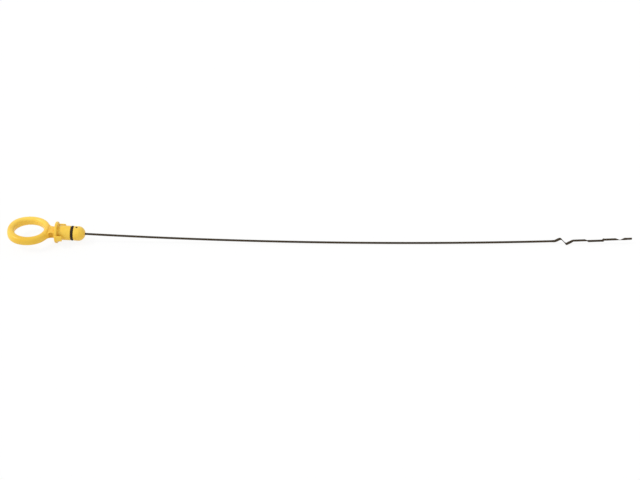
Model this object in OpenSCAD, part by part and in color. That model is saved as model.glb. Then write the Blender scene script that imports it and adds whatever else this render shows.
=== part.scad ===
// Engine oil dipstick: a moulded handle with a finger ring and a plug, an O-ring in the plug's
// groove, and a bowed steel wire whose end is pinched into the oil gauge.
// Millimetres. The origin is the centre of the seat, where the handle meets its tube. +X runs to
// the tip and +Z is up. The dipstick lies as it comes to rest, on the flange's rim and the wire.

/* [Finger ring] */
// Inside diameter of the finger ring
ring_bore = 29.4; // [22:0.1:40]
// Wall of the ring, seen from above
ring_wall = 6.6; // [5:0.1:9]
// Thickness of the ring
ring_h = 6.7; // [4:0.1:9]
// Rounding of the ring's four edges
ring_round = 1.8; // [0.5:0.1:1.9]

/* [Neck] */
// Length of the neck, from the ring's outside to the flange's back
neck_l = 6.2; // [5:0.1:12]
// Width of the neck, seen from above
neck_w = 11.2; // [8:0.1:13]
// Thickness of the neck in the middle of its width
neck_h = 6.6; // [4:0.1:9]
// Radius of the crown on the neck's top and bottom
neck_crown = 50; // [25:1:90]
// Radius of the hollow corner between neck and ring
neck_blend = 5.5; // [4:0.5:9]

/* [Flange] */
// Diameter of the flange
flange_d = 21.5; // [19:0.1:26]
// Thickness of the flange
flange_t = 2; // [1.2:0.1:4]
// Rounding of the flange's rim
flange_round = 0.5; // [0.2:0.05:0.6]
// Reach of each lug from the axis, at the seat
lug_reach = 12.2; // [12:0.1:16]
// Thickness of the lugs from their outer to their inner face, at the seat
lug_wall = 1.9; // [1.5:0.1:3.5]
// Breadth of the lugs
lug_h = 5; // [2:0.1:6]
// Length of the lugs past the seat
lug_l = 5.2; // [3:0.1:8]
// How much the lugs' outer faces draw in towards the tip
lug_taper = 0.3; // [0:0.1:1.2]

/* [Plug] */
// Diameter of the plug
plug_d = 14.4; // [12:0.1:17]
// Length of the plug from the seat to its round nose
plug_l = 19.8; // [18:0.1:30]
// Diameter of the locating pin holes over the wire
pin_hole_d = 1.6; // [1:0.1:2.5]
// Distance from the seat to the pin holes
pin_hole_at = 18.7; // [17:0.1:19.5]

/* [Seal] */
// Section of the O-ring's cord
seal_cord = 2.62; // [1.8:0.01:3.6]
// How far the O-ring stands proud of the plug
seal_proud = 0.27; // [0.1:0.01:0.5]
// Distance from the seat to the middle of the O-ring
seal_at = 14.3; // [11:0.1:15]
// Width of the groove beyond the O-ring's cord
groove_play = 0.2; // [0.1:0.05:0.6]
// Chamfer on the groove's two edges
groove_chamfer = 0.25; // [0.1:0.05:0.5]
// Gap between the O-ring and the floor of its groove
seal_fit = 0.02; // [0.01:0.01:0.1]

/* [Wire] */
// Length of the wire from the seat to the tip
reach = 573.7; // [480:0.1:700]
// Diameter of the wire
wire_d = 2; // [1.6:0.1:2.6]
// Radius of the wire's bow
bow_r = 5640; // [4500:10:12000]
// Lean of the plane in which the wire is bowed, from the axis of the ring
bow_lean = 23; // [10:1:40]
// Lean of the plane in which the wire is kinked and pinched
pinch_lean = 35; // [0:1:50]
// Gap between the wire and the moulding round it
wire_fit = 0.02; // [0.01:0.01:0.1]
// Length of the wire's flattened anchor inside the neck
anchor_l = 8; // [5:0.5:10]
// Thickness of the flattened anchor
anchor_t = 1.2; // [0.8:0.1:1.6]

/* [Gauge] */
// Distance between the level marks pressed into the wire
mark_pitch = 16; // [12:0.5:24]
// Length of the tip past the last mark
tip_l = 12.1; // [8:0.1:20]
// How far the wire is offset between the upper and the lower mark
mark_step = 0.9; // [0.4:0.1:1.5]
// Length of the slope that runs down to the upper mark
slope_l = 3.6; // [2:0.1:5]
// Length of the abrupt steps at the two marks
step_l = 1; // [0.6:0.1:2]
// Thickness left at the foot of the upper mark's slope
mark_t = 0.9; // [0.6:0.1:1.6]
// Thickness left by the wedge pinch at the last mark
waist_t = 0.3; // [0.2:0.05:1]
// Length of each slope of the wedge pinch
waist_l = 4.6; // [3:0.1:6]
// Height of the kink's crest over the line of the wire
crest_h = 2; // [0.5:0.1:4]
// Depth of the kink's trough under the line of the wire
trough_h = 2.8; // [0.5:0.1:4]
// Length of the kink's ramps
ramp_l = 6.4; // [4:0.1:9]
// Length of the blade from the crest to the trough
blade_l = 6; // [4:0.1:9]
// Thickness of the blade, square to the wire
blade_t = 0.6; // [0.4:0.05:1.5]
// Share of the pinched thickness that goes into width
spread = 0.4; // [0.2:0.05:0.6]
// Half length over which bends and pinches are rounded
soften = 0.5; // [0.3:0.1:1]

/* [Hidden] */
$fn = 96;
over = 1;                      // how far a cut runs past the surface that it opens

ring_in_r = ring_bore / 2;
ring_out_r = ring_in_r + ring_wall;
ring_mid_r = ring_in_r + ring_wall / 2;
ring_at = -flange_t - neck_l - ring_out_r;

flange_r = flange_d / 2;
plug_r = plug_d / 2;
nose_at = plug_l + plug_r;

seal_r = plug_r + seal_proud - seal_cord / 2;
groove_r = seal_r - seal_cord / 2 - seal_fit;
groove_w = seal_cord + groove_play;

// Stations along the wire, counted from the seat
tip_at = reach;
waist_at = tip_at - tip_l;
low_at = waist_at - mark_pitch;
high_at = low_at - mark_pitch;
kink_end = high_at - mark_pitch + soften;
trough_at = kink_end - ramp_l;
crest_at = trough_at - blade_l;
kink_start = crest_at - ramp_l;
anchor_at = -flange_t - neck_l + ring_wall / 4;
anchor_end = anchor_at + anchor_l;
anchor_flare = 2;              // length over which the anchor runs back to round wire
blade_in = blade_l / 3;        // length from the crest to where the blade is thin
blade_out = blade_l / 4;       // length from where it is thin to the trough
squaring = 0.3;                // how much squarer a section gets as it is pinched

wire_sides = 16;
bow_step = 12;                 // distance between sections along the bow
gauge_step = 0.5;              // distance between sections along the gauge
anchor_step = 1;               // distance between sections along the anchor

// Line of the gauge over and under the wire's own line, as [station, height]
gauge_line = [
    [kink_start, 0],
    [crest_at, crest_h],
    [trough_at, -trough_h],
    [kink_end, 0],
    [high_at - slope_l, 0],
    [high_at, (mark_t - wire_d) / 2],
    [high_at + step_l, -mark_step],
    [low_at - step_l, -mark_step],
    [low_at + step_l, 0],
    [waist_at - waist_l, 0],
    [waist_at, (waist_t - wire_d) / 2],
    [waist_at + waist_l, 0]
];

// Thickness of the wire in the bend plane, as [station, thickness]
wire_thickness = [
    [anchor_end - anchor_flare, anchor_t],
    [anchor_end, wire_d],
    [crest_at, wire_d],
    [crest_at + blade_in, blade_t],
    [trough_at - blade_out, blade_t],
    [trough_at, wire_d],
    [high_at - slope_l, wire_d],
    [high_at, mark_t],
    [high_at + step_l, wire_d],
    [low_at - step_l, wire_d],
    [low_at, wire_d + mark_step],
    [low_at + step_l, wire_d],
    [waist_at - waist_l, wire_d],
    [waist_at, waist_t],
    [waist_at + waist_l, wire_d]
];

stations = [
    for (s = [anchor_at : anchor_step : nose_at]) s,
    for (s = [nose_at : bow_step : kink_start - bow_step]) s,
    for (s = [kink_start - bow_step / 2 : gauge_step : tip_at - gauge_step]) s,
    tip_at
];

// Mean of a profile over a short stretch, which rounds its corners
function softened(profile, s) =
    let (shares = [-1, -0.5, 0, 0.5, 1])
    [for (k = shares) lookup(s + k * soften, profile)] * [for (k = shares) 1 / len(shares)];

// Angle in degrees of the bow at a station, and the point there, seen square to the pinch plane
function bow_angle(s) = max(s - nose_at, 0) / bow_r * 180 / PI;
function bow_point(s) =
    let (
        a = bow_angle(s),
        rise = bow_r * (1 - cos(a)),
        skew = pinch_lean - bow_lean
    )
    [min(s, nose_at) + bow_r * sin(a), -rise * sin(skew), rise * cos(skew)];

function thickness(s) = softened(wire_thickness, s);
function width(s) = wire_d * pow(wire_d / thickness(s), spread);
function line(s) = softened(gauge_line, s);

// Pitch at which a section of the wire reaches the floor that the flange's rim lies on
function touching_pitch(s) =
    let (
        p = bow_point(s),
        low = norm([width(s) * sin(pinch_lean), thickness(s) * cos(pinch_lean)]) / 2,
        run = p[0] + flange_round,
        height = (p[2] + line(s)) * cos(pinch_lean) - p[1] * sin(pinch_lean),
        rise = height + flange_r - flange_round
    )
    atan2(rise, run) + asin((flange_round - low) / norm([run, rise]));

pitch = min([for (s = stations) if (s > nose_at) touching_pitch(s)]);

// Outline of one section, round where the wire is round and squarer where it is pinched
function power(v, e) = sign(v) * pow(abs(v), e);
function section(s) =
    let (
        t = thickness(s),
        w = width(s),
        e = 1 - squaring * max(1 - t / wire_d, 0),
        middle = bow_point(s) + [0, 0, line(s)]
    )
    [
        for (k = [0 : wire_sides - 1])
        let (turn = 360 * k / wire_sides)
        middle + [0, w / 2 * power(cos(turn), e), t / 2 * power(sin(turn), e)]
    ];

// Lays a piece that is modelled on the X axis down as the dipstick rests
module lay() {
    rotate([0, pitch, 0])
        children();
}

// Turns a piece that is modelled on the Z axis on to the X axis
module along_axis() {
    rotate([0, 90, 0])
        children();
}

// Rectangle with round corners, centred, as the union of its bands and its corner discs
module rounded_section(size, r) {
    square([size[0] - 2 * r, size[1]], center = true);
    square([size[0], size[1] - 2 * r], center = true);
    for (x = [-1, 1], y = [-1, 1])
        translate([x * (size[0] / 2 - r), y * (size[1] / 2 - r)])
            circle(r);
}

module finger_ring() {
    translate([ring_at, 0, 0])
        rotate_extrude()
            translate([ring_mid_r, 0])
                rounded_section([ring_wall, ring_h], ring_round);
}

// Seen from above, a bar from the ring to the flange with a hollow blend on each side
module neck_outline(bar_l) {
    blend_y = neck_w / 2 + neck_blend;
    blend_x = sqrt(pow(ring_out_r + neck_blend, 2) - pow(blend_y, 2));
    difference() {
        union() {
            polygon([[0, 0], [blend_x, blend_y], [blend_x, -blend_y]]);
            translate([0, -neck_w / 2])
                square([bar_l, neck_w]);
        }
        for (side = [-1, 1])
            translate([blend_x, side * blend_y])
                circle(neck_blend);
        circle(ring_mid_r);
    }
}

// The neck's top and bottom are crowned over its width
module neck() {
    bar_l = ring_out_r + neck_l + flange_t / 2;
    translate([ring_at, 0, 0])
        intersection() {
            linear_extrude(neck_h + over, center = true)
                neck_outline(bar_l);
            along_axis()
                linear_extrude(bar_l + over)
                    intersection_for(side = [-1, 1])
                        translate([side * (neck_crown - neck_h / 2), 0])
                            circle(neck_crown);
        }
}

module flange() {
    translate([-flange_t / 2, 0, 0])
        along_axis()
            rotate_extrude()
                intersection() {
                    rounded_section([flange_d, flange_t], flange_round);
                    translate([0, -flange_t])
                        square([flange_d, 2 * flange_t]);
                }
}

// Two ears in the plane of the ring, each with a lug that stands free over the tube's rim
module lugs() {
    inner = lug_reach - lug_wall;
    linear_extrude(lug_h, center = true)
        for (side = [-1, 1])
            polygon([
                [-flange_t + flange_round, 0],
                [-flange_t + flange_round, side * lug_reach],
                [0, side * lug_reach],
                [lug_l, side * (lug_reach - lug_taper)],
                [lug_l, side * inner],
                [0, side * inner],
                [0, 0]
            ]);
}

module plug() {
    along_axis()
        cylinder(h = plug_l, r = plug_r);
    translate([plug_l, 0, 0])
        sphere(plug_r);
}

module seal_groove() {
    half = groove_w / 2;
    translate([seal_at, 0, 0])
        along_axis()
            rotate_extrude()
                polygon([
                    [groove_r, -half],
                    [plug_r - groove_chamfer, -half],
                    [plug_r + over, -half - groove_chamfer - over],
                    [plug_r + over, half + groove_chamfer + over],
                    [plug_r - groove_chamfer, half],
                    [groove_r, half]
                ]);
}

// Space that the wire and its flattened anchor fill inside the moulding
module wire_space() {
    anchor_w = width(anchor_at) + 2 * wire_fit;
    anchor_h = anchor_t + 2 * wire_fit;
    flare_at = anchor_end - anchor_flare - 2 * soften;
    translate([flare_at, 0, 0])
        along_axis()
            cylinder(h = nose_at - flare_at + over, d = wire_d + 2 * wire_fit);
    rotate([-pinch_lean, 0, 0])
        translate([anchor_at - wire_fit, -anchor_w / 2, -anchor_h / 2])
            cube([anchor_l + wire_fit, anchor_w, anchor_h]);
}

module pin_holes() {
    translate([pin_hole_at, 0, 0])
        cylinder(h = plug_d + over, d = pin_hole_d, center = true);
}

module handle() {
    color("gold")
        lay()
            difference() {
                union() {
                    finger_ring();
                    neck();
                    flange();
                    lugs();
                    plug();
                }
                seal_groove();
                wire_space();
                pin_holes();
            }
}

module o_ring() {
    color("dimgray")
        lay()
            translate([seal_at, 0, 0])
                along_axis()
                    rotate_extrude()
                        translate([seal_r, 0])
                            circle(d = seal_cord);
}

// One swept skin from the anchor to the tip, closed by its two end sections
module wire() {
    rings = len(stations);
    last = (rings - 1) * wire_sides;
    color("dimgray")
        lay()
            rotate([-pinch_lean, 0, 0])
                polyhedron(
                    points = [for (s = stations) each section(s)],
                    faces = [
                        [for (k = [0 : wire_sides - 1]) k],
                        for (i = [0 : rings - 2], k = [0 : wire_sides - 1])
                            let (
                                a = i * wire_sides + k,
                                b = i * wire_sides + (k + 1) % wire_sides
                            )
                            each [[a, a + wire_sides, b], [b, a + wire_sides, b + wire_sides]],
                        [for (k = [0 : wire_sides - 1]) last + wire_sides - 1 - k]
                    ]
                );
}

handle();
o_ring();
wire();
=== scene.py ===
import math

import bpy
import numpy as np
from mathutils import Matrix, Vector
from mathutils.bvhtree import BVHTree


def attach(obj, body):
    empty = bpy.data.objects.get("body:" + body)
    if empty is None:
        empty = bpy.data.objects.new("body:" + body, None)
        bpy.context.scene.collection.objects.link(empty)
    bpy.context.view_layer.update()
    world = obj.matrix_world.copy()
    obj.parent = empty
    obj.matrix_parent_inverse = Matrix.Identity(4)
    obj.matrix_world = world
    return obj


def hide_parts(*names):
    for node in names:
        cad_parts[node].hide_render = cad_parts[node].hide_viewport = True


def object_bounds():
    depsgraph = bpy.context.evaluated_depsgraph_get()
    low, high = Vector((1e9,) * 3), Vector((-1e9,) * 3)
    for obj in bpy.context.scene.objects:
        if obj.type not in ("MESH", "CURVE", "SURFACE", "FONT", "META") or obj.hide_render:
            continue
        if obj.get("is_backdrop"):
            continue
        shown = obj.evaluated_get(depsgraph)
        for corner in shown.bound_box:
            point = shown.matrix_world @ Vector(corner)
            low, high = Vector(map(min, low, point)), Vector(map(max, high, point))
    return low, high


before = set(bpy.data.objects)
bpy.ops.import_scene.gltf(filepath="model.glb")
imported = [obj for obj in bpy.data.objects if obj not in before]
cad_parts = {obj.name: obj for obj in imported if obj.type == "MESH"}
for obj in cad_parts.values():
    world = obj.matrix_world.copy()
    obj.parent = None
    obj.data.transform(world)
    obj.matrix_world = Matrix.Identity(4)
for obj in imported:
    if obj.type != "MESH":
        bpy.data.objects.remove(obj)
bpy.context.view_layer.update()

# Lengths are in millimetres, in the handle's own frame, where nothing else is said:
# X along the plug's axis with 0 at the seat, Z up. The part rests with that axis dipped by PITCH,
# which the CAD source works out.
MM = 0.001
PITCH = math.asin(0.0520568)

# Camera, as the photograph's silhouette places it: angles in degrees, target and distance in the
# CAD frame, clipping in metres
ELEVATION = 34.7
AZIMUTH = 1.49
ROLL = -0.077
FOCAL_PX = 1276.0
FRAME_W = 640
SENSOR_W = 36.0
DISTANCE = 1274.919
TARGET = Vector((261.0, 0.0, -6.0))
OFFSET = (-1.041, -0.789)
CLIP_START, CLIP_END = 0.01, 20

# Stage and light: half width of the floor in metres, and the share of its own shading that the
# camera sees
FLOOR_HALF = 6.0
FLOOR_TONE = (0.93, 0.93, 0.93)
SHADOW_SHARE = 0.1
WORLD_LIGHT = 0.8
KEY_STRENGTH = 1.3
KEY_SPREAD = math.radians(18)
KEY_FROM = Vector((-0.62, -0.12, 0.78))

# Colours, linear
WHITE = (1, 1, 1)
PLASTIC = (0.865, 0.555, 0.07)
PLASTIC_DEEP = (0.825, 0.49, 0.05)
PLASTIC_PALE = (0.89, 0.605, 0.09)
# Painted light on the ring's far part, and painted shade on its near part
PLASTIC_FAR_LIT = (0.98, 0.69, 0.115)
PLASTIC_NEAR_SHADED = (0.78, 0.485, 0.046)
# Painted shade in corners
PLASTIC_CORNER_SHADE = (0.7, 0.38, 0.014)
PLASTIC_SHEEN = (1, 0.9, 0.62)
OIL_FILM = (0.42, 0.25, 0.03)
# Painted shade in the pin holes
PIN_HOLE_SHADE = (0.2, 0.12, 0.008)
RUBBER = (0.015, 0.011, 0.008)
RUBBER_DUST = (0.038, 0.03, 0.021)
RUBBER_SHEEN = (1, 0.75, 0.6)
STEEL = (0.062, 0.049, 0.034)
STEEL_DEEP = (0.042, 0.033, 0.023)
STEEL_PALE = (0.11, 0.088, 0.066)
STEEL_BROWN = (0.068, 0.047, 0.028)
STEEL_SHEEN = (0.26, 0.21, 0.14)

# Where the plastic's colour changes: oil film along X, painted light on the ring's far part and
# painted shade on its near part along Y, painted shade in the pin holes by the distance from their
# axis, and the reach within which a corner gets painted shade
OIL_X = (-6, 14)
FAR_LIT_Y = (3, 16)
NEAR_SHADED_Y = (-9, -19)
PIN_AT, PIN_R, PIN_EDGE = 18.7, 1.0, 0.4
CORNER_SHADE_REACH = 7.0

# Softening of the handle: the voxel, passes of smoothing, shares by which flat faces and edges go
# back to the CAD's skin, the distance at which an edge begins, passes after that, and a skin that
# makes up for the rest
VOXEL = 0.28
WELD = 0.01
SOFTENING = 6
BACK_ON_FACES, BACK_ON_EDGES = 0.9, 0.6
EDGE_FROM = 0.12
LAST_PASSES = 2
SKIN = 0.06

# The ring in the CAD source
RING_WALL, RING_H, RING_ROUND = 6.6, 6.7, 1.8
RING_OUT_R = 21.3
RING_AT = -29.5

# Its rounder section in the photograph. The wall is thinner by the shift at the neck and thicker at
# the far end, and the outline has blunt quarters, a flat end and two low bulges (direction, spread,
# height). NECK_FADE is the stretch towards the neck over which all of this ends.
ROUND_WALL, ROUND_H, ROUND_ROUND = 6.35, 8.5, 3.1
ROUND_LEAST_FLAT = 0.1
ROUND_SHIFT = 0.5
OUTLINE_BLUNT = 0.38
OUTLINE_END = 0.3
OUTLINE_BULGES = [(2.6, 0.5, 0.32), (-2.0, 0.6, 0.3)]
NECK_FADE = (3.3, 6.5)

# Neck: where it is wider and thicker, its blend into the ring, and the pocket in each side.
# Four places say where a change starts, is full, starts to end and has ended.
NECK_X = (-9.5, -7.5, -2.5, -2.0)
NECK_WIDER, NECK_THICKER = 1.05, 1.04
BLEND_X = (-13, -10.5, -9.5, -5)
BLEND_Y = (7, 10)
BLEND_WIDER = 0.06
POCKET_X = (-8.4, -7.7, -5.0, -4.3)
POCKET_Z = (-2.3, -1.7, 2.4, 3.0)
POCKET_Y = (3.0, 5.0)
POCKET_DEPTH = 1.8

# Flange, lugs, plug and nose: how much fuller they are than in the CAD, and where
FLANGE_THICKER = 0.45
FLANGE_OUT, FLANGE_BACK, FLANGE_END = (5.8, 7.2), (0.5, 1.5), -3
LUG_Y, LUG_X = (8.4, 9.4), (0, 1)
LUG_LONGER_FAR, LUG_LONGER_NEAR, LUG_TALLER = 0.15, 0.06, 0.08
PLUG_L = 19.8
PLUG_R = 7.2
PLUG_WIDER = 0.012
PLUG_X, PLUG_OUT = (0.3, 1.2), (6.7, 7.1)
NOSE_FULL, NOSE_LONGER = 0.038, 0.2
NOSE_OUT = (1.5, 2.6)

# Parting line of the mould: its height and half width, and where it is left out
PARTING_H = 0.06
PARTING_HALF = 0.4
BORE_OUT = (1.5, 2.0)
BORE_FROM = -12
GROOVE_HALF = 1.9

# O-ring, a little prouder of the plug than in the CAD source, with the flash line of its mould
SEAL_AT = 14.3
SEAL_CORD = 2.62
SEAL_PROUD = 0.33
SEAL_R = PLUG_R + SEAL_PROUD - SEAL_CORD / 2
SEAL_FLASH = 0.03
FLASH_SHARPNESS = 60
SEAL_STEPS = 160
SEAL_SIDES = 48

# Wire, along the CAD source's line but a little thicker, as the photograph shows
FLANGE_T, NECK_L = 2.0, 6.2
NOSE_AT = PLUG_L + PLUG_R
REACH = 573.7
WIRE_D = 2.12
BOW_R = 5640.0
BOW_LEAN = math.radians(23)
PINCH_LEAN = math.radians(35)
SPREAD = 0.4
SQUARING = 0.3
SOFTEN = 0.5
WIRE_SIDES = 28
LONG_STEP = 3.0
GAUGE_STEP = 0.25
GAUGE_LEAD = 3.0

# Gauge, moved a little along the wire from where the CAD source has it: places from the tip back to
# the kink, and the anchor in the neck
TIP_LONGER = 0.4
TIP_AT = REACH + TIP_LONGER
WAIST_AT = TIP_AT - 11.7
LOW_AT = WAIST_AT - 16.8
HIGH_AT = LOW_AT - 15.7
KINK_END = HIGH_AT - 14.2
TROUGH_AT = KINK_END - 6.9
CREST_AT = TROUGH_AT - 6.0
KINK_START = CREST_AT - 5.8
ANCHOR_AT = -FLANGE_T - NECK_L + RING_WALL / 4
ANCHOR_END = ANCHOR_AT + 8.0

# Gauge: heights off the wire's line, thicknesses, and lengths of slopes and steps
CREST_H, TROUGH_H = 2.05, 3.2
MARK_T, WAIST_T, BLADE_T, ANCHOR_T = 1.1, 0.3, 0.5, 1.2
RAMP_T, CREST_T, TROUGH_T = 3.0, 2.2, 2.4
MARK_STEP, WAIST_L, STEP_L = 0.9, 4.6, 1.0
HIGH_SLOPE, HIGH_STEP = 2.7, 0.6
CREST_FLAT_FROM, CREST_FLAT_TO = 0.8, 0.5
RAMP_IN, RAMP_OUT, BLADE_IN, BLADE_OUT = 1.5, 1.8, 2.2, 1.8
ANCHOR_FADE, TIP_FADE = 2.0, 3.0
RAMP_LESS, HIGH_MORE, TIP_MORE = 0.1, 0.1, 0.3

# Height off the wire's line, and thickness, at places along the wire
GAUGE_LINE = [
    (KINK_START, 0.0), (CREST_AT - CREST_FLAT_FROM, CREST_H), (CREST_AT + CREST_FLAT_TO, CREST_H),
    (TROUGH_AT, -TROUGH_H),
    (KINK_END, 0.0), (HIGH_AT - HIGH_SLOPE, 0.0), (HIGH_AT, (MARK_T - WIRE_D) / 2),
    (HIGH_AT + HIGH_STEP, -MARK_STEP), (LOW_AT - STEP_L, -MARK_STEP), (LOW_AT + STEP_L, 0.0),
    (WAIST_AT - WAIST_L, 0.0), (WAIST_AT, (WAIST_T - WIRE_D) / 2), (WAIST_AT + WAIST_L, 0.0),
]
WIRE_THICKNESS = [
    (ANCHOR_END - ANCHOR_FADE, ANCHOR_T), (ANCHOR_END, WIRE_D), (KINK_START - GAUGE_LEAD, WIRE_D),
    (KINK_START, TROUGH_T), (KINK_START + RAMP_IN, RAMP_T), (CREST_AT - RAMP_OUT, RAMP_T),
    (CREST_AT, CREST_T), (CREST_AT + BLADE_IN, BLADE_T), (TROUGH_AT - BLADE_OUT, BLADE_T),
    (TROUGH_AT, TROUGH_T), (TROUGH_AT + RAMP_IN, RAMP_T), (KINK_END - RAMP_IN, RAMP_T - RAMP_LESS),
    (KINK_END, WIRE_D), (HIGH_AT - HIGH_SLOPE, WIRE_D), (HIGH_AT, MARK_T),
    (HIGH_AT + HIGH_STEP, WIRE_D + HIGH_MORE), (LOW_AT - STEP_L, WIRE_D),
    (LOW_AT, WIRE_D + 2 * MARK_STEP), (LOW_AT + STEP_L, WIRE_D), (WAIST_AT - WAIST_L, WIRE_D),
    (WAIST_AT, WAIST_T), (WAIST_AT + WAIST_L, WIRE_D + TIP_MORE),
    (WAIST_AT + WAIST_L + TIP_FADE, WIRE_D),
]


def linked(name, data):
    # A new object in the scene
    obj = bpy.data.objects.new(name, data)
    bpy.context.scene.collection.objects.link(obj)
    return obj


def dressed(name, mesh, material):
    # A new object with smooth faces and its material
    mesh.polygons.foreach_set("use_smooth", [True] * len(mesh.polygons))
    mesh.materials.append(material)
    return linked(name, mesh)


def camera():
    # At the photograph's viewing angle, moved in the picture's plane by the offset
    el, az, roll = (math.radians(v) for v in (ELEVATION, AZIMUTH, ROLL))
    toward = Vector((math.sin(az) * math.cos(el), -math.cos(az) * math.cos(el), math.sin(el)))
    level = Vector((math.cos(az), math.sin(az), 0))
    upright = toward.cross(level)
    right = math.cos(roll) * level + math.sin(roll) * upright
    up = -math.sin(roll) * level + math.cos(roll) * upright
    place = TARGET + DISTANCE * toward - OFFSET[0] * right - OFFSET[1] * up
    data = bpy.data.cameras.new("camera")
    data.sensor_width = SENSOR_W
    data.lens = FOCAL_PX / FRAME_W * SENSOR_W
    data.clip_start = CLIP_START
    data.clip_end = CLIP_END
    cam = linked("camera", data)
    turn = Matrix((right, up, toward)).transposed().to_4x4()
    cam.matrix_world = Matrix.Translation(place * MM) @ turn
    bpy.context.scene.camera = cam


# Nodes: each helper adds one to a node tree and returns its output

def feed(tree, socket, value):
    # A socket takes a link from another one, or a plain value
    if isinstance(value, bpy.types.NodeSocket):
        tree.links.new(value, socket)
    elif socket.type == "RGBA":
        socket.default_value = (*value, 1)
    else:
        socket.default_value = value


def put(tree, kind, **values):
    # A new node with the named sockets fed
    node = tree.nodes.new(kind)
    for name, value in values.items():
        feed(tree, node.inputs[name.replace("_", " ")], value)
    return node


def operate(tree, kind, operation, *values):
    # A Math or Vector Math node, fed in order
    node = tree.nodes.new(kind)
    node.operation = operation
    for socket, value in zip(node.inputs, values):
        feed(tree, socket, value)
    return node


def noise(tree, vector, scale, detail, roughness):
    # Smooth noise from 0 to 1
    made = put(tree, "ShaderNodeTexNoise", Vector=vector, Scale=scale, Detail=detail,
               Roughness=roughness)
    return made.outputs["Fac"]


def ramp(tree, fac, stops):
    # Colour ramp through (place, colour) stops
    made = put(tree, "ShaderNodeValToRGB", Fac=fac)
    bar = made.color_ramp
    while len(bar.elements) < len(stops):
        bar.elements.new(0.5)
    for element, (place, colour) in zip(bar.elements, stops):
        element.position = place
        element.color = (*colour, 1)
    return made.outputs["Color"]


def map_range(tree, value, low, high, to_low, to_high):
    # The value's stretch from low to high, mapped onto another and held at its ends
    made = put(tree, "ShaderNodeMapRange", Value=value, From_Min=low, From_Max=high,
               To_Min=to_low, To_Max=to_high)
    return made.outputs["Result"]


def mix_colour(tree, fac, first, second):
    # The Mix node's sockets for colours are the seventh and eighth, and its output the third
    made = tree.nodes.new("ShaderNodeMix")
    made.data_type = "RGBA"
    for place, value in ((0, fac), (6, first), (7, second)):
        feed(tree, made.inputs[place], value)
    return made.outputs[2]


def mix_shaders(tree, fac, first, second, output):
    # Two shaders mixed into the surface of a material or the world
    made = tree.nodes.new("ShaderNodeMixShader")
    for socket, value in zip(made.inputs, (fac, first, second)):
        feed(tree, socket, value)
    tree.links.new(made.outputs[0], output.inputs["Surface"])


def bump(tree, height, strength, distance, below=None):
    # Relief of a height in millimetres, over another relief if there is one below
    made = put(tree, "ShaderNodeBump", Height=height, Strength=strength, Distance=distance * MM)
    if below is not None:
        feed(tree, made.inputs["Normal"], below)
    return made.outputs["Normal"]


def placed(tree, scale=(1, 1, 1), turn=(0, 0, 0), shift=(0, 0, 0)):
    # Object coordinates in millimetres, scaled along each axis, then turned and shifted
    place = tree.nodes.new("ShaderNodeTexCoord")
    made = put(tree, "ShaderNodeMapping", Vector=place.outputs["Object"], Rotation=turn,
               Location=shift, Scale=tuple(v / MM for v in scale))
    return made.outputs["Vector"]


def seen_ray(tree):
    # 1 on the rays that show the background: camera, glossy and transmission rays
    rays = tree.nodes.new("ShaderNodeLightPath").outputs
    seen = rays["Is Camera Ray"]
    for other in ("Is Glossy Ray", "Is Transmission Ray"):
        seen = operate(tree, "ShaderNodeMath", "MAXIMUM", seen, rays[other]).outputs[0]
    return seen


def pin_hole(tree):
    # 1 inside the pin holes, by the distance from their axis, where shade is painted
    own = placed(tree, turn=(0, -PITCH, 0), shift=(-PIN_AT, 0, 0))
    flat = operate(tree, "ShaderNodeVectorMath", "MULTIPLY", own, (1, 1, 0))
    away = operate(tree, "ShaderNodeVectorMath", "LENGTH", flat.outputs["Vector"])
    return map_range(tree, away.outputs["Value"], PIN_R, PIN_R + PIN_EDGE, 1.0, 0.0)


def surface(name):
    # A new material, with its node tree and its shader
    made = bpy.data.materials.new(name)
    made.use_nodes = True
    return made, made.node_tree, made.node_tree.nodes["Principled BSDF"].inputs


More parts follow.
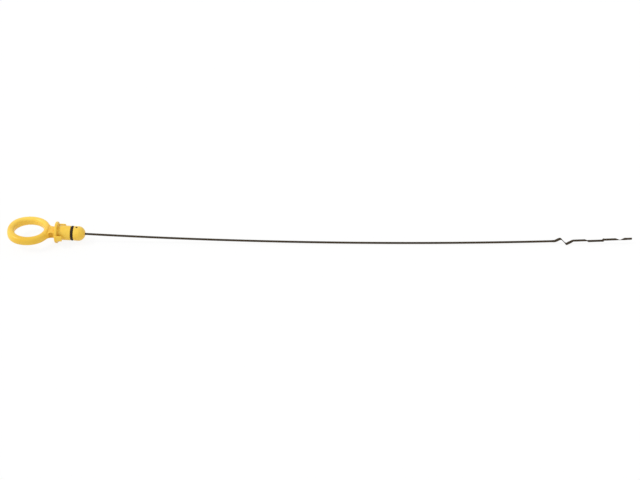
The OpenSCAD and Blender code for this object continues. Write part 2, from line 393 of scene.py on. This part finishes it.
def plastic():
    # Yellow moulded plastic, a little aged and oily
    made, tree, sockets = surface("handle_plastic")
    even = placed(tree)
    where = put(tree, "ShaderNodeSeparateXYZ", Vector=even).outputs
    # Slow drift of the pigment with fine specks
    drift = ramp(tree, noise(tree, even, 0.09, 3, 0.55),
                 [(0.3, PLASTIC_DEEP), (0.5, PLASTIC), (0.72, PLASTIC_PALE)])
    specks = map_range(tree, noise(tree, even, 2.2, 2, 0.6), 0.68, 0.8, 0.0, 0.22)
    colour = mix_colour(tree, specks, drift, PLASTIC_DEEP)
    # Painted light and shade: the ring's far part is painted lighter and its near part darker
    colour = mix_colour(tree, map_range(tree, where["Y"], *FAR_LIT_Y, 0.0, 0.6), colour, PLASTIC_FAR_LIT)
    colour = mix_colour(tree, map_range(tree, where["Y"], *NEAR_SHADED_Y, 0.0, 0.55), colour, PLASTIC_NEAR_SHADED)
    # Thin oil film in streaks near the plug
    streaks = noise(tree, placed(tree, (0.6, 0.25, 0.25)), 0.5, 4, 0.6)
    film = map_range(tree, streaks, 0.5, 0.75, 0.0, 0.16)
    near_plug = map_range(tree, where["X"], *OIL_X, 0.0, 1.0)
    oily = operate(tree, "ShaderNodeMath", "MULTIPLY", film, near_plug).outputs[0]
    colour = mix_colour(tree, oily, colour, OIL_FILM)
    # Painted shade: corners are painted darker and deeper, as light that bounces between yellow faces
    # loses its blue
    open_share = put(tree, "ShaderNodeAmbientOcclusion", Distance=CORNER_SHADE_REACH * MM).outputs["AO"]
    colour = mix_colour(tree, map_range(tree, open_share, 0.35, 0.8, 0.5, 0.0), colour, PLASTIC_CORNER_SHADE)
    # Painted shade in the pin holes, darker towards their axis
    feed(tree, sockets["Base Color"], mix_colour(tree, pin_hole(tree), colour, PIN_HOLE_SHADE))
    # Satin, with smoother and duller patches
    dull = noise(tree, even, 0.35, 4, 0.6)
    feed(tree, sockets["Roughness"], map_range(tree, dull, 0.3, 0.7, 0.28, 0.42))
    # Orange peel, grain, and fine scuffs along the part
    relief = bump(tree, noise(tree, even, 0.9, 2, 0.5), 0.35, 0.05)
    relief = bump(tree, noise(tree, even, 5.0, 2, 0.5), 0.3, 0.012, relief)
    scuffs = noise(tree, placed(tree, (0.4, 3.2, 3.2)), 1.0, 3, 0.65)
    feed(tree, sockets["Normal"], bump(tree, scuffs, 0.22, 0.02, relief))
    feed(tree, sockets["Specular IOR Level"], 0.36)
    feed(tree, sockets["Specular Tint"], PLASTIC_SHEEN)
    return made


def rubber():
    # Black, with brown dust in patches, a fine grain and places worn smoother
    made, tree, sockets = surface("seal_rubber")
    even = placed(tree)
    dust = map_range(tree, noise(tree, even, 1.1, 4, 0.65), 0.5, 0.8, 0.0, 0.5)
    feed(tree, sockets["Base Color"], mix_colour(tree, dust, RUBBER, RUBBER_DUST))
    worn = noise(tree, even, 2.5, 3, 0.6)
    feed(tree, sockets["Roughness"], map_range(tree, worn, 0.3, 0.7, 0.42, 0.62))
    feed(tree, sockets["Normal"], bump(tree, noise(tree, even, 6.0, 3, 0.6), 0.4, 0.015))
    feed(tree, sockets["Specular IOR Level"], 0.28)
    feed(tree, sockets["Specular Tint"], RUBBER_SHEEN)
    return made


def steel():
    # Drawing marks run along the wire, under a thin film of oil that browns in patches
    made, tree, sockets = surface("wire_steel")
    drawn = noise(tree, placed(tree, (0.05, 4, 4)), 1.0, 4, 0.6)
    patches = noise(tree, placed(tree, (0.12, 0.5, 0.5)), 1.0, 3, 0.55)
    tone = ramp(tree, drawn, [(0.3, STEEL_DEEP), (0.55, STEEL), (0.8, STEEL_PALE)])
    browned = map_range(tree, patches, 0.45, 0.7, 0.0, 0.5)
    feed(tree, sockets["Base Color"], mix_colour(tree, browned, tone, STEEL_BROWN))
    feed(tree, sockets["Roughness"], map_range(tree, patches, 0.3, 0.7, 0.3, 0.44))
    feed(tree, sockets["Normal"], bump(tree, drawn, 0.3, 0.02))
    feed(tree, sockets["Metallic"], 1.0)
    feed(tree, sockets["Specular Tint"], STEEL_SHEEN)
    return made


def floor():
    # A white floor under the dressed part's lowest point, which keeps a faint shadow
    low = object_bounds()[0].z
    signs = ((-1, -1), (1, -1), (1, 1), (-1, 1))
    corners = [(FLOOR_HALF * x, FLOOR_HALF * y, low) for x, y in signs]
    mesh = bpy.data.meshes.new("floor")
    mesh.from_pydata(corners, [], [(0, 1, 2, 3)])
    obj = linked("floor", mesh)
    made, tree, sockets = surface("floor_white")
    feed(tree, sockets["Base Color"], FLOOR_TONE)
    feed(tree, sockets["Roughness"], 1.0)
    glow = put(tree, "ShaderNodeEmission", Color=WHITE, Strength=1.0)
    share = operate(tree, "ShaderNodeMath", "MULTIPLY", seen_ray(tree), 1 - SHADOW_SHARE)
    own = tree.nodes["Principled BSDF"].outputs[0]
    output = tree.nodes["Material Output"]
    mix_shaders(tree, share.outputs[0], own, glow.outputs[0], output)
    mesh.materials.append(made)
    obj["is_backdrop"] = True


def lights():
    # Plain white surroundings that show as white behind the part, and one soft key light from the
    # upper left
    world = bpy.data.worlds.new("studio")
    world.use_nodes = True
    tree = world.node_tree
    plain = tree.nodes["Background"]
    feed(tree, plain.inputs["Color"], WHITE)
    feed(tree, plain.inputs["Strength"], WORLD_LIGHT)
    white = put(tree, "ShaderNodeBackground", Color=WHITE, Strength=1.0)
    mix_shaders(tree, seen_ray(tree), plain.outputs[0], white.outputs[0], tree.nodes["World Output"])
    bpy.context.scene.world = world

    data = bpy.data.lights.new("key", "SUN")
    data.energy = KEY_STRENGTH
    data.angle = KEY_SPREAD
    key = linked("key", data)
    key.location = KEY_FROM
    key.rotation_mode = "QUATERNION"
    key.rotation_quaternion = (-KEY_FROM).to_track_quat("-Z", "Y")


# Shapes of the handle, on arrays of points in its own frame

def smoothstep(x, low, high):
    # A soft rise from 0 at low to 1 at high
    t = np.clip((x - low) / (high - low), 0, 1)
    return t * t * (3 - 2 * t)


def plateau(x, start, full, last, end):
    # 0 up to the start, 1 from full to last, 0 again from the end
    return smoothstep(x, start, full) * (1 - smoothstep(x, last, end))


def section_reach(turn, half_w, half_h, r):
    # Distance from the middle of a rounded rectangle to its outline, in each direction. The tiny
    # number keeps the divisions from zero.
    tiny = 1e-9
    c, s = np.abs(np.cos(turn)) + tiny, np.abs(np.sin(turn)) + tiny
    side, top = half_w / c, half_h / s
    cx, cy = half_w - r, half_h - r
    along = cx * c + cy * s
    corner = along + np.sqrt(np.maximum(along ** 2 - cx ** 2 - cy ** 2 + r ** 2, 0))
    return np.where(side * s <= cy, side, np.where(top * c <= cx, top, corner))


def round_ring(p):
    # The ring's square section becomes the rounder and thicker one that the photograph shows
    x, y, z = p[:, 0] - RING_AT, p[:, 1], p[:, 2]
    out, turn = np.hypot(x, y), np.arctan2(y, x)
    u = out - (RING_OUT_R - RING_WALL / 2)
    blunt = OUTLINE_BLUNT * np.sin(2 * turn) ** 2 - OUTLINE_END * np.clip(-np.cos(turn), 0, 1) ** 4
    for middle, spread, height in OUTLINE_BULGES:
        blunt = blunt + height * np.exp(-((turn - middle) / spread) ** 2)
    wall = ROUND_WALL - ROUND_SHIFT * np.cos(turn) + blunt
    angle = np.arctan2(z, u)
    old = section_reach(angle, RING_WALL / 2, RING_H / 2, RING_ROUND)
    rounding = np.minimum(ROUND_ROUND, wall / 2 - ROUND_LEAST_FLAT)
    new = section_reach(angle, wall / 2, ROUND_H / 2, rounding)
    k = new / old
    share = 1 - smoothstep(u, *NECK_FADE)
    new_out = out + share * (RING_OUT_R + blunt - PARTING_H - SKIN - wall / 2 + u * k - out)
    return np.column_stack((
        RING_AT + new_out * np.cos(turn), new_out * np.sin(turn), z + share * (z * k - z),
    ))


def shape_neck(p, before):
    # A wider neck with a full blend into the ring and a shallow pocket in each side, where the
    # photograph is dark. The places are taken before the ring's change.
    x, y, z = before.T
    made = p.copy()
    neck = plateau(x, *NECK_X)
    blend = plateau(x, *BLEND_X) * (1 - smoothstep(np.abs(y), *BLEND_Y))
    pocket = plateau(x, *POCKET_X) * plateau(z, *POCKET_Z) * smoothstep(np.abs(y), *POCKET_Y)
    made[:, 1] *= 1 + (NECK_WIDER - 1) * neck + BLEND_WIDER * blend
    made[:, 1] -= np.sign(y) * POCKET_DEPTH * pocket
    made[:, 2] *= 1 + (NECK_THICKER - 1) * neck + BLEND_WIDER * blend
    return made


def fuller_head(p):
    # The flange's ring side, the lugs, the plug and the nose, as full as the photograph shows them
    x, y, z = p.T
    made = p.copy()
    out = np.hypot(y, z)
    back = smoothstep(out, *FLANGE_OUT) * smoothstep(-x, *FLANGE_BACK) * (x > FLANGE_END)
    made[:, 0] -= FLANGE_THICKER * back
    lug = smoothstep(np.abs(y), *LUG_Y) * (x > 0)
    made[:, 0] += np.where(y > 0, LUG_LONGER_FAR, LUG_LONGER_NEAR) * lug * x
    made[:, 2] *= 1 + LUG_TALLER * lug * smoothstep(x, *LUG_X)
    along = np.clip((x - PLUG_L) / (NOSE_AT - PLUG_L), 0, 1)
    outside = smoothstep(out, *NOSE_OUT)
    plug = smoothstep(x, *PLUG_X) * (1 - along ** 2) * smoothstep(out, *PLUG_OUT) * (1 - lug)
    wider = PLUG_WIDER * plug + NOSE_FULL * np.sin(math.pi * along) * outside
    made[:, 1:] *= (1 + wider)[:, None]
    made[:, 0] += NOSE_LONGER * outside * along ** 2
    return made


def parting_line(p, normals):
    # A low ridge where the two halves of the mould meet, and none in the bore and the groove
    x, y, z = p.T
    outside = np.clip(smoothstep(np.hypot(y, z), *BORE_OUT) + (x < BORE_FROM), 0, 1)
    height = PARTING_H * np.clip(1 - (z / PARTING_HALF) ** 2, 0, 1) ** 2
    height = height * outside * (np.abs(x - SEAL_AT) >= GROOVE_HALF)
    return p + normals * (height + SKIN * outside)[:, None]


def own_frame(points):
    # From the row's frame in metres to the handle's own frame in millimetres
    c, s = math.cos(PITCH), math.sin(PITCH)
    x, y, z = points.T
    return np.column_stack((x * c - z * s, y, x * s + z * c)) / MM


def row_frame(points):
    # From the handle's own frame in millimetres to the row's frame in metres
    c, s = math.cos(PITCH), math.sin(PITCH)
    x, y, z = points.T
    return np.column_stack((x * c + z * s, y, -x * s + z * c)) * MM


def back_to_skin(p, source):
    # Smoothing shrinks the form, so its points go back towards the CAD's skin, less so at edges
    tree = BVHTree.FromObject(source, bpy.context.evaluated_depsgraph_get())
    nearest = np.array([tree.find_nearest(q)[0] for q in p])
    away = np.linalg.norm(nearest - p, axis=1) / MM
    edge = smoothstep(away, EDGE_FROM / 2, EDGE_FROM)
    share = BACK_ON_FACES + (BACK_ON_EDGES - BACK_ON_FACES) * edge
    return p + (nearest - p) * share[:, None]


def relaxed(p, mesh):
    # Each point moves half way to the mean of its neighbours, in each of the last passes
    edges = np.empty(len(mesh.edges) * 2, np.int32)
    mesh.edges.foreach_get("vertices", edges)
    a, b = edges.reshape(-1, 2).T
    count = np.bincount(edges, minlength=len(p))[:, None]
    for _ in range(LAST_PASSES):
        total = np.column_stack([
            np.bincount(a, p[b, i], len(p)) + np.bincount(b, p[a, i], len(p)) for i in range(3)
        ])
        p = (p + total / count) / 2
    return p


def coordinates(items, name):
    # One row of three numbers for each vertex or normal
    values = np.empty(len(items) * 3, np.float32)
    items.foreach_get(name, values)
    return values.reshape(-1, 3).astype(float)


def softened_skin(source):
    # The CAD node's skin, remeshed and smoothed
    draft = linked("draft", source.data.copy())
    weld = draft.modifiers.new("weld", "WELD")
    weld.merge_threshold = WELD * MM
    remesh = draft.modifiers.new("remesh", "REMESH")
    remesh.mode = "VOXEL"
    remesh.voxel_size = VOXEL * MM
    smooth = draft.modifiers.new("soften", "SMOOTH")
    smooth.factor = 0.5
    smooth.iterations = SOFTENING
    result = draft.evaluated_get(bpy.context.evaluated_depsgraph_get())
    mesh = bpy.data.meshes.new_from_object(result)
    bpy.data.objects.remove(draft)
    return mesh


def moulding():
    # The handle as it comes from its mould: soft edges, the ring's rounder section, a parting line
    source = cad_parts["handle"]
    mesh = softened_skin(source)
    mesh.name = "handle_moulding"
    p = own_frame(relaxed(back_to_skin(coordinates(mesh.vertices, "co"), source), mesh))
    p = fuller_head(shape_neck(round_ring(p), p))
    mesh.vertices.foreach_set("co", row_frame(p).ravel())
    mesh.update()
    normals = own_frame(coordinates(mesh.vertex_normals, "vector")) * MM
    mesh.vertices.foreach_set("co", row_frame(parting_line(p, normals)).ravel())
    mesh.update()
    mesh.materials.clear()
    obj = dressed("handle_moulding", mesh, plastic())
    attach(obj, "root")
    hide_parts("handle")


# Round skins of the O-ring and the wire

def skin_faces(steps, sides, closed):
    # Four-sided faces between outlines that follow each other, round again to the first if closed
    faces = []
    for i in range(steps if closed else steps - 1):
        j = (i + 1) % steps
        for k in range(sides):
            m = (k + 1) % sides
            faces.append((i * sides + k, i * sides + m, j * sides + m, j * sides + k))
    return faces


def seal():
    # The O-ring as a fine torus with the thin flash line of its mould
    verts = []
    turn = Matrix.Rotation(PITCH, 3, "Y")
    for i in range(SEAL_STEPS):
        a = 2 * math.pi * i / SEAL_STEPS
        for k in range(SEAL_SIDES):
            b = 2 * math.pi * k / SEAL_SIDES
            r = SEAL_CORD / 2 - SEAL_FLASH * (1 - abs(math.cos(b)) ** FLASH_SHARPNESS)
            out = SEAL_R + r * math.cos(b)
            point = Vector((SEAL_AT + r * math.sin(b), out * math.cos(a), out * math.sin(a)))
            verts.append(tuple(turn @ point * MM))
    mesh = bpy.data.meshes.new("o_ring_moulded")
    mesh.from_pydata(verts, [], skin_faces(SEAL_STEPS, SEAL_SIDES, True))
    obj = dressed("o_ring_moulded", mesh, rubber())
    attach(obj, "root")
    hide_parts("o_ring")


def lookup(profile, s):
    # Value at the place s on a line through (place, value) points
    if s <= profile[0][0]:
        return profile[0][1]
    for (a, va), (b, vb) in zip(profile, profile[1:]):
        if s <= b:
            return va + (vb - va) * (s - a) / (b - a)
    return profile[-1][1]


def softened(profile, s):
    # The mean about s, which rounds the profile's corners
    shares = (-1, -0.75, -0.5, -0.25, 0, 0.25, 0.5, 0.75, 1)
    return sum(lookup(profile, s + k * SOFTEN) for k in shares) / len(shares)


def wire_section(s):
    # One outline of the wire, in the CAD frame. A pinched section spreads sideways and turns
    # squarer.
    angle = max(s - NOSE_AT, 0) / BOW_R
    rise = BOW_R * (1 - math.cos(angle))
    skew = PINCH_LEAN - BOW_LEAN
    along = min(s, NOSE_AT) + BOW_R * math.sin(angle)
    middle = Vector((along, -rise * math.sin(skew), rise * math.cos(skew)))
    middle.z += softened(GAUGE_LINE, s)
    t = softened(WIRE_THICKNESS, s)
    w = WIRE_D * (WIRE_D / t) ** SPREAD
    e = 1 - SQUARING * max(1 - t / WIRE_D, 0)
    turn = Matrix.Rotation(PITCH, 3, "Y") @ Matrix.Rotation(-PINCH_LEAN, 3, "X")
    points = []
    for k in range(WIRE_SIDES):
        a = 2 * math.pi * k / WIRE_SIDES
        c, d = math.cos(a), math.sin(a)
        y = w / 2 * math.copysign(abs(c) ** e, c)
        z = t / 2 * math.copysign(abs(d) ** e, d)
        points.append(turn @ (middle + Vector((0, y, z))))
    return points


def wire():
    # One skin from the anchor in the neck to the tip, with close outlines along the gauge
    stations = []
    s = ANCHOR_AT
    while s < TIP_AT:
        stations.append(s)
        s += GAUGE_STEP if s > KINK_START - GAUGE_LEAD else LONG_STEP
    stations.append(TIP_AT)
    verts = [tuple(p * MM) for s in stations for p in wire_section(s)]
    first_cap = tuple(range(WIRE_SIDES - 1, -1, -1))
    last_cap = tuple(range(len(verts) - WIRE_SIDES, len(verts)))
    faces = [first_cap] + skin_faces(len(stations), WIRE_SIDES, False) + [last_cap]
    mesh = bpy.data.meshes.new("wire_drawn")
    mesh.from_pydata(verts, [], faces)
    obj = dressed("wire_drawn", mesh, steel())
    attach(obj, "root")
    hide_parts("wire")


camera()
lights()
moulding()
seal()
wire()
floor()

bpy.context.scene.view_settings.view_transform = "Standard"
